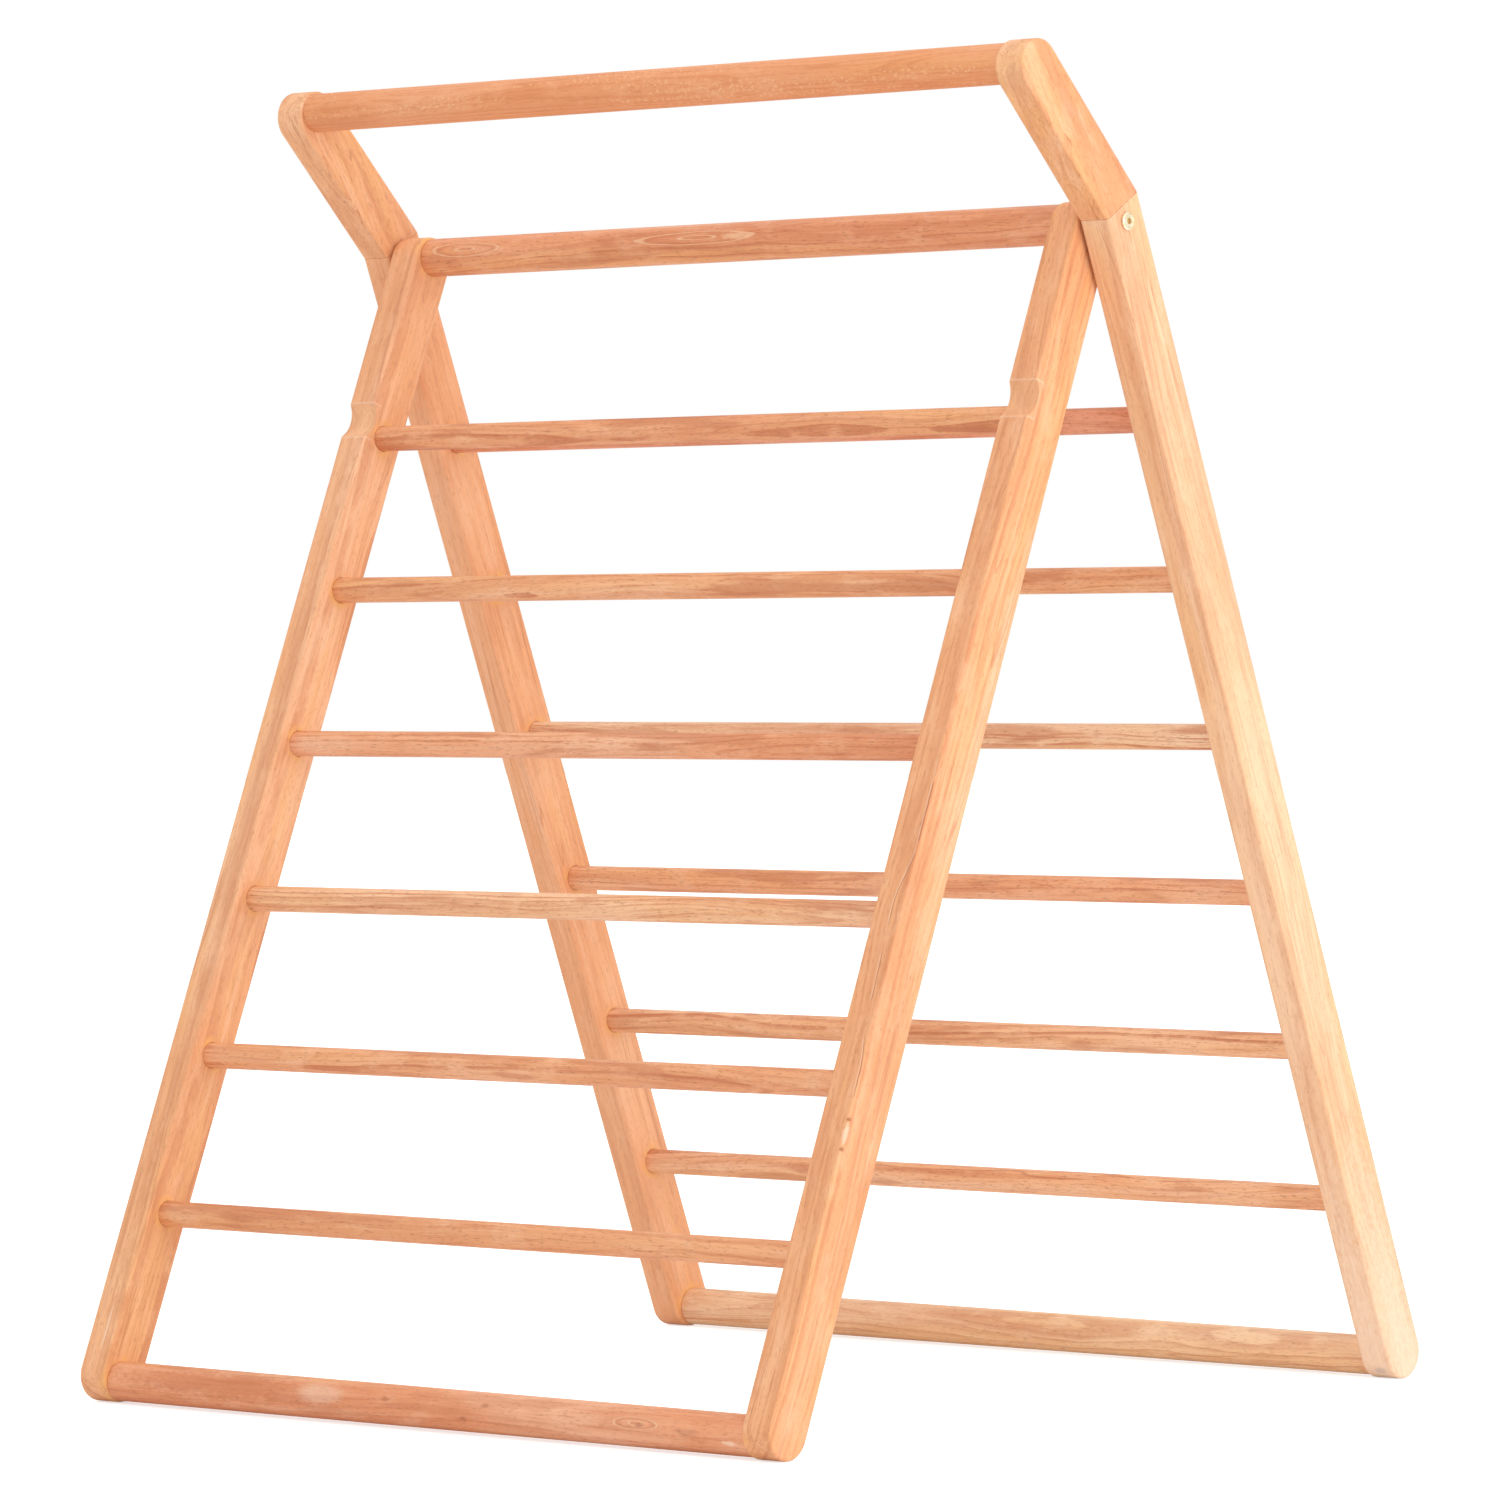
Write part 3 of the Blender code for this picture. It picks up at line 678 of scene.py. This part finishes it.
def back_post_wood(word, side, halos):
    def extra(g, colour):
        # Partly the wood's own tone and partly painted light: the left post is mixed warmer, the right
        # paler
        colour = g.mix(0.15, colour, WARM if side < 0 else PALE)
        colour = golden_rings(g, colour, -side * 2 / POST_THICK, halos)
        if side < 0:
            return colour
        # Painted highlight: the post is painted paler towards its foot. The foot also has one grey smudge
        colour = mark(g, colour, (0.0, 0.0, -1.06), (0.03, 0.05, 0.34), CREAM, 0.70, 0.3)
        return mark(g, colour, (0.002, FRONT_FACE, -1.027), (0.009, 0.006, 0.006), SMOKE, 0.35)

    # The right post is paler and the left darker: partly the wood's own tone and partly painted light, as
    # the lamps light the right of the rack more
    tone = -0.80 if side > 0 else 0.40
    return teak(f"teak_back_post_{word}", 2.1 + side, tone, 0.42, (0.05, 0.06 * side), extra=extra)


def arm_wood(word, side):
    scar = in_arm(0.0465, -0.085)
    eye = in_arm(0.054, -0.080)
    low = in_arm(0.037, -0.039)

    def extra(g, colour):
        if side < 0:
            return colour
        colour = mark(g, colour, (OUTER_FACE, scar.y, scar.z), (0.004, 0.0022, 0.010), DEEP, 0.65, 0.8)
        colour = knot(g, colour, (-0.011, FRONT_FACE, eye.z), (0.0035, 0.003, 0.0075))
        return mark(g, colour, (OUTER_FACE, low.y, low.z), (0.004, 0.0016, 0.014), DEEP, 0.6, 0.6)

    slant = (0.10 * side, -0.16)
    return teak(f"teak_handle_arm_{word}", 5.3 + 2 * side, 0.0, 0.50, (0.035, 0.05), 0.007, slant, extra)


def build_back_frame():
    up = BACK.to_3x3().inverted() @ Vector((0, 0, 1))
    floor_point = BACK.inverted() @ Vector((0, HINGE.y, FLOOR_Z))
    sockets = [(drop, RUNG_RADIUS) for drop in BACK_DROPS] + [(BACK_RAIL_DROP, RAIL_CORE)]
    halos = [(drop, RUNG_RADIUS) for drop in BACK_DROPS] + [(BACK_RAIL_DROP, RAIL_RADIUS)]
    point = ARM_LOCAL.inverted() @ (MITRE_POINT + MITRE_ACROSS * MITRE_SEAM / 2)
    normal = ARM_LOCAL.to_3x3().inverted() @ -MITRE_ACROSS
    post_cuts = [
        (MITRE_POINT - MITRE_ACROSS * MITRE_SEAM / 2, MITRE_ACROSS, SEAM_EASE),
        (floor_point, -up, 0.0),
    ]
    for word, side in SIDES.items():
        post(
            f"back_post_{word}_teak", BACK, "back_frame", side, BACK_HALF_WIDTH,
            lambda shrink: bar_outline(None, BACK_RAIL_DROP, shrink),
            sockets, True, back_post_wood(word, side, halos), post_cuts,
        )
        post(
            f"handle_arm_{word}_teak", ARM, "back_frame", side, BACK_HALF_WIDTH,
            lambda shrink: bar_outline(None, ARM_LENGTH, shrink),
            [(ARM_LENGTH, RAIL_CORE)], False, arm_wood(word, side), [(point, normal, SEAM_EASE)],
        )
    for number, (drop, tone) in enumerate(zip(BACK_DROPS, BACK_RUNG_TONES), 1):
        wood = teak(f"teak_back_rung_{number}", 11 + number, tone, 1.0, (0.03, -0.02), 0.0044)
        rung(f"back_rung_{number}_teak", BACK, "back_frame", BACK_HALF_WIDTH, drop, wood)
    wood = teak("teak_back_bottom_rail", 31, -1.1, 0.30, (0.03, 0.02), 0.0050)
    place = BACK @ Matrix.Translation((0, 0, -BACK_RAIL_DROP))
    rail("back_bottom_rail_teak", place, "back_frame", BACK_HALF_WIDTH, True, wood)
    wood = teak("teak_handle_bar", 33, 0.45, 0.6, (0.03, 0.03), 0.0042, extra=handle_flecks)
    place = ARM @ Matrix.Translation((0, 0, -ARM_LENGTH))
    rail("handle_bar_teak", place, "back_frame", BACK_HALF_WIDTH, True, wood)


def handle_flecks(g, colour):
    """The handle's warmer colour and the small pale flecks that run along it in bands."""
    colour = g.mix(0.50, colour, HANDLE_TINT)
    cells = g.cells(g.place, (360, 360, 230))
    band = g.step(g.noise(g.place, (80, 80, 5), 2.0), 0.44, 0.60)
    flecks = g.times(g.step(cells, 0.46, 0.18), band)
    return g.mix(g.times(flecks, 0.45), colour, between(PALE, GOLD, 0.3))


# ---------------------------------------------------------------- front frame


def front_post_wood(word, side, halos):
    def extra(g, colour):
        colour = golden_rings(g, g.mix(0.10, colour, WARM), -side * 2 / POST_THICK, halos)
        colour = scooped(g, colour)
        if side < 0:
            return mark(g, colour, (0.0040, FRONT_FACE, -1.0), (0.0012, 0.004, 0.028), CREAM, 0.7, 0.2)
        colour = fissure(g, colour)
        # A pale patch on the outer arris, dark at both ends
        arris = FRONT_FACE + 0.001
        colour = mark(g, colour, (OUTER_FACE, arris, -0.795), (0.0040, 0.0040, 0.0110), CREAM, 0.50, 0.3)
        for end in (-0.783, -0.808):
            size = (0.0035, 0.0035, 0.0022)
            colour = mark(g, colour, (OUTER_FACE, arris, end), size, DARK, 0.7, 0.3)
        return mark(g, colour, (0.0050, FRONT_FACE, -1.004), (0.0006, 0.003, 0.011), DEEP, 0.7, 0.2)

    tone = 0.15 if side > 0 else 0.25
    return teak(f"teak_front_post_{word}", 7.7 + 3 * side, tone, 0.55, (0.06 * side, 0.05), extra=extra)


def fissure(g, colour):
    """A long drying crack that leaves the outer arris, runs down the front face and comes back."""
    drop = g.times(g.z, -1.0)
    course = g.math("SUBTRACT", 0.0138, g.times(g.step(drop, 0.555, 0.602), 0.0092))
    course = g.add(course, g.times(g.step(drop, 0.602, 0.700), 0.0029))
    course = g.add(course, g.times(g.step(drop, 0.695, 0.742), 0.0062))
    course = g.add(course, g.times(g.math("SUBTRACT", g.noise(g.place, (1, 1, 90), 2.0), 0.5), 0.0012))
    face = g.step(g.y, -0.0190, -0.0205)
    length = g.times(g.step(drop, 0.465, 0.50), g.step(drop, 0.77, 0.755))
    aside = g.math("SUBTRACT", g.x, course)
    broken = g.step(g.noise(g.place, (150, 150, 45), 2.0), 0.36, 0.50)
    length = g.times(length, broken)
    crack = g.times(g.step(g.math("ABSOLUTE", aside), 0.00055, 0.00015), g.times(face, length))
    beside = g.math("ABSOLUTE", g.add(aside, 0.0012))
    edge = g.times(g.step(beside, 0.0010, 0.0003), g.times(face, length))
    colour = g.mix(g.times(edge, 0.30), colour, CREAM)
    return g.mix(g.times(crack, 0.70), colour, DARK)


def bottom_rail_marks(g, colour):
    """A brown stretch and a pale patch on the left, a long oval, small dark knots and a scar."""
    front = -RAIL_RADIUS
    colour = mark(g, colour, (0.0, front, -0.230), (0.016, 0.03, 0.150), DEEP, 0.50, 0.6)
    colour = mark(g, colour, (0.0, front, -0.108), (0.012, 0.02, 0.034), CREAM, 0.30, 0.3)
    colour = ovals(g, colour, (0.002, 0.246), 0.026, 0.0050)
    for along, down in ((-0.034, 0.0), (0.055, 0.010), (0.079, -0.002), (0.250, 0.003)):
        colour = mark(g, colour, (down, front + 0.002, along), (0.0026, 0.008, 0.0062), DARK, 0.45)
    colour = mark(g, colour, (0.006, front, 0.300), (0.004, 0.01, 0.018), DARK, 0.30)
    return mark(g, colour, (0.011, front + 0.004, 0.345), (0.002, 0.01, 0.009), CREAM, 0.6, 1.0)


def top_rail_ovals(g, colour):
    """Two long ovals, one near the left end and one in the middle with a pale heart beside it."""
    colour = ovals(g, colour, (0.001, -0.309), 0.042, 0.0065)
    colour = ovals(g, colour, (0.002, -0.035), 0.075, 0.0055)
    return mark(g, colour, (0.002, -RAIL_RADIUS, 0.012), (0.004, 0.01, 0.022), PALE, 0.55)


def build_front_frame():
    up = FRONT.to_3x3().inverted() @ Vector((0, 0, 1))
    floor_point = FRONT.inverted() @ Vector((0, HINGE.y, FLOOR_Z))
    sockets = [(drop, RUNG_RADIUS) for drop in FRONT_DROPS]
    sockets += [(0.0, RAIL_CORE), (FRONT_RAIL_DROP, RAIL_CORE)]
    halos = [(drop, RUNG_RADIUS) for drop in FRONT_DROPS]
    halos += [(0.0, RAIL_RADIUS), (FRONT_RAIL_DROP, RAIL_RADIUS)]
    for word, side in SIDES.items():
        post(
            f"front_post_{word}_teak", FRONT, "front_frame", side, FRONT_HALF_WIDTH,
            lambda shrink: bar_outline(0.0, FRONT_RAIL_DROP, shrink, seat=True),
            sockets, True, front_post_wood(word, side, halos), [(floor_point, -up, 0.0)],
        )
    for number, (drop, tone) in enumerate(zip(FRONT_DROPS, FRONT_RUNG_TONES), 1):
        wood = teak(f"teak_front_rung_{number}", 21 + number, tone, 1.0, (0.03, -0.02), 0.0044)
        rung(f"front_rung_{number}_teak", FRONT, "front_frame", FRONT_HALF_WIDTH, drop, wood)
    wood = teak("teak_front_bottom_rail", 41, 0.95, 0.7, (0.03, 0.02), extra=bottom_rail_marks)
    place = FRONT @ Matrix.Translation((0, 0, -FRONT_RAIL_DROP))
    rail("front_bottom_rail_teak", place, "front_frame", FRONT_HALF_WIDTH, True, wood)
    wood = teak("teak_front_top_rail", 43, 0.85, 0.9, (0.012, 0.022), 0.0042, extra=top_rail_ovals)
    rail("front_top_rail_teak", FRONT, "front_frame", FRONT_HALF_WIDTH, False, wood)


# ---------------------------------------------------------------- hinge hardware

BRASS_PALE = srgb(250, 240, 212)
BRASS_DEEP = srgb(226, 206, 158)
# Painted shade: the brown inside a bolt's driver socket, and how softly it fades at the socket's edge
SOCKET_SHADE = srgb(224, 176, 112)
SOCKET_SHADE_FADE = 0.0003


def hardware_matrix(side):
    """The space of a bolt or washer: origin on the hinge axis, +Z out of the rack on its side."""
    return Matrix.Translation(HINGE) @ Matrix.Rotation(side * math.pi / 2, 4, "Y")


def brass(name, seed, socket=0.0):
    """Pale brass, with brown painted shade inside the radius of a driver socket."""
    g = Graph(name)
    place = g.vector("ADD", g.place, (seed, seed * 2, seed * 3))
    cloudy = g.noise(place, (260, 260, 260), 3.0, 0.6)
    fine = g.noise(place, (2400, 2400, 2400), 2.0)
    colour = g.mix(g.step(cloudy, 0.35, 0.7), BRASS_PALE, BRASS_DEEP)
    if socket:
        # Painted shade: brown inside the driver socket's radius
        radius = g.vector("LENGTH", g.joined(g.x, g.y, 0.0), (0, 0, 0))
        inside = g.step(radius, socket + SOCKET_SHADE_FADE, socket - SOCKET_SHADE_FADE)
        colour = g.mix(g.times(inside, 0.7), colour, SOCKET_SHADE)
    g.feed(g.shader.inputs["Base Color"], colour)
    g.shader.inputs["Metallic"].default_value = 1.0
    rough = g.add(g.times(cloudy, 0.2), g.add(g.times(fine, 0.08), 0.32))
    g.feed(g.shader.inputs["Roughness"], rough)
    g.bump(fine, 0.15, 0.00005)
    return g.material


def build_bolt(word, side):
    """A flat connector bolt: a dished head with a raised rim and a six-sided socket."""
    low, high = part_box(f"hinge_bolt_{word}")
    outer = high.x if side > 0 else -low.x
    tip = low.x if side > 0 else -high.x
    under = BACK_HALF_WIDTH + POST_THICK / 2 + SEAM
    head = (high.z - low.z) / 2
    profile = [
        # the shank and its chamfered tip
        (tip, 0.0022), (tip + 0.0008, BOLT_RADIUS), (under, BOLT_RADIUS),
        # the head's edge and its raised rim
        (under, head - 0.0003), (under + 0.0002, head), (under + 0.0011, head),
        (outer - 0.0003, head - 0.0005), (outer, head - 0.0011), (outer, head - 0.0016),
        # the dish inside the rim, rising again round the socket
        (outer - 0.0003, head - 0.0021), (outer - 0.0004, head - 0.0030),
        (outer - 0.0002, 0.0034), (outer - 0.0001, 0.0029),
    ]
    builder = bmesh.new()
    matrix = hardware_matrix(side)
    revolve(builder, profile, HARDWARE_SIDES)
    metal = brass(f"brass_bolt_{word}", 1.5 + side, BOLT_SOCKET_RADIUS)
    obj = add_mesh(f"hinge_bolt_{word}_fine", builder, matrix, metal)
    builder = bmesh.new()
    ends = (outer - BOLT_SOCKET_DEPTH, outer + HARDWARE_OVERRUN)
    revolve(builder, [(end, BOLT_SOCKET_RADIUS) for end in ends], 6)
    subtract(obj, builder, matrix)
    finish_piece(obj, f"hinge_bolt_{word}", "front_frame")


def build_washer(word, side):
    low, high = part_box(f"hinge_washer_{word}")
    inner, outer = sorted((abs(low.x), abs(high.x)))
    radius = (high.z - low.z) / 2
    rim = radius - WASHER_EASE
    profile = [(inner, rim), (inner + WASHER_EASE, radius), (outer - WASHER_EASE, radius), (outer, rim)]
    builder = bmesh.new()
    matrix = hardware_matrix(side)
    revolve(builder, profile, HARDWARE_SIDES)
    metal = brass(f"brass_washer_{word}", 4.5 + side)
    obj = add_mesh(f"hinge_washer_{word}_fine", builder, matrix, metal)
    builder = bmesh.new()
    ends = (inner - HARDWARE_OVERRUN, outer + HARDWARE_OVERRUN)
    revolve(builder, [(end, BOLT_HOLE_RADIUS) for end in ends], HARDWARE_SIDES)
    subtract(obj, builder, matrix)
    finish_piece(obj, f"hinge_washer_{word}", "front_frame")


def dress_hidden_nodes():
    """The dowels and inserts inside the timber keep their CAD shape and take a real material."""
    dowel_wood = teak("teak_mitre_dowels", 51, 0.2, 0.6)
    insert_brass = brass("brass_inserts", 9.5)
    for name, node in frame["nodes"].items():
        if name.startswith("mitre_dowel"):
            node.data.materials.clear()
            node.data.materials.append(dowel_wood)
        if name.startswith("rail_insert"):
            node.data.materials.clear()
            node.data.materials.append(insert_brass)


# ---------------------------------------------------------------- room, lights and camera


def build_floor():
    """A plain pale studio floor, which glows a little more where the camera sees it directly."""
    g = Graph("studio_floor")
    g.shader.inputs["Base Color"].default_value = FLOOR_COLOUR
    g.shader.inputs["Roughness"].default_value = 0.9
    g.shader.inputs["Emission Color"].default_value = FLOOR_GLOW_COLOUR
    seen = g.tree.nodes.new("ShaderNodeLightPath").outputs["Is Camera Ray"]
    g.feed(g.shader.inputs["Emission Strength"], g.add(g.times(seen, FLOOR_GLOW), FLOOR_OWN_GLOW))
    size = FLOOR_HALF_SIZE
    builder = bmesh.new()
    corners = [(-size, -size), (size, -size), (size, size), (-size, size)]
    builder.faces.new([builder.verts.new((x, y, 0)) for x, y in corners])
    place = Matrix.Translation((0, 0, FLOOR_Z - FLOOR_GAP))
    floor = add_mesh("studio_floor", builder, place, g.material)


def area_light(name, place, target, size, power, colour):
    light = bpy.data.lights.new(name, "AREA")
    light.shape = "SQUARE"
    light.size = size
    light.energy = power
    light.color = colour
    obj = bpy.data.objects.new(name, light)
    bpy.context.scene.collection.objects.link(obj)
    aim = (Vector(target) - Vector(place)).to_track_quat("-Z", "Y")
    obj.matrix_world = Matrix.Translation(place) @ aim.to_matrix().to_4x4()


def build_lights():
    world = bpy.data.worlds.new("studio")
    world.use_nodes = True
    backdrop = world.node_tree.nodes["Background"]
    backdrop.inputs["Color"].default_value = (1, 1, 1, 1)
    seen = world.node_tree.nodes.new("ShaderNodeLightPath")
    strength = world.node_tree.nodes.new("ShaderNodeMapRange")
    strength.inputs["To Min"].default_value = WORLD_STRENGTH
    strength.inputs["To Max"].default_value = 1.0
    world.node_tree.links.new(seen.outputs["Is Camera Ray"], strength.inputs["Value"])
    world.node_tree.links.new(strength.outputs["Result"], backdrop.inputs["Strength"])
    bpy.context.scene.world = world
    area_light("key", KEY_PLACE, KEY_TARGET, KEY_SIZE, KEY_POWER, KEY_COLOUR)
    area_light("above", ABOVE_PLACE, ABOVE_TARGET, ABOVE_SIZE, ABOVE_POWER, ABOVE_COLOUR)


def build_camera():
    camera = bpy.data.cameras.new("camera")
    camera.lens = CAMERA_LENS
    camera.sensor_width = SENSOR
    camera.clip_end = CAMERA_REACH
    obj = bpy.data.objects.new("camera", camera)
    bpy.context.scene.collection.objects.link(obj)
    turn = (
        Matrix.Rotation(CAMERA_YAW, 4, "Z")
        @ Matrix.Rotation(CAMERA_PITCH, 4, "X")
        @ Matrix.Rotation(CAMERA_ROLL, 4, "Y")
        @ Matrix.Rotation(math.pi / 2, 4, "X")
    )
    obj.matrix_world = Matrix.Translation(CAMERA_PLACE) @ turn
    bpy.context.scene.camera = obj


build_back_frame()
build_front_frame()
for side_word, side_sign in SIDES.items():
    build_bolt(side_word, side_sign)
    build_washer(side_word, side_sign)
dress_hidden_nodes()
build_floor()
build_lights()
build_camera()
bpy.context.scene.view_settings.view_transform = "Standard"
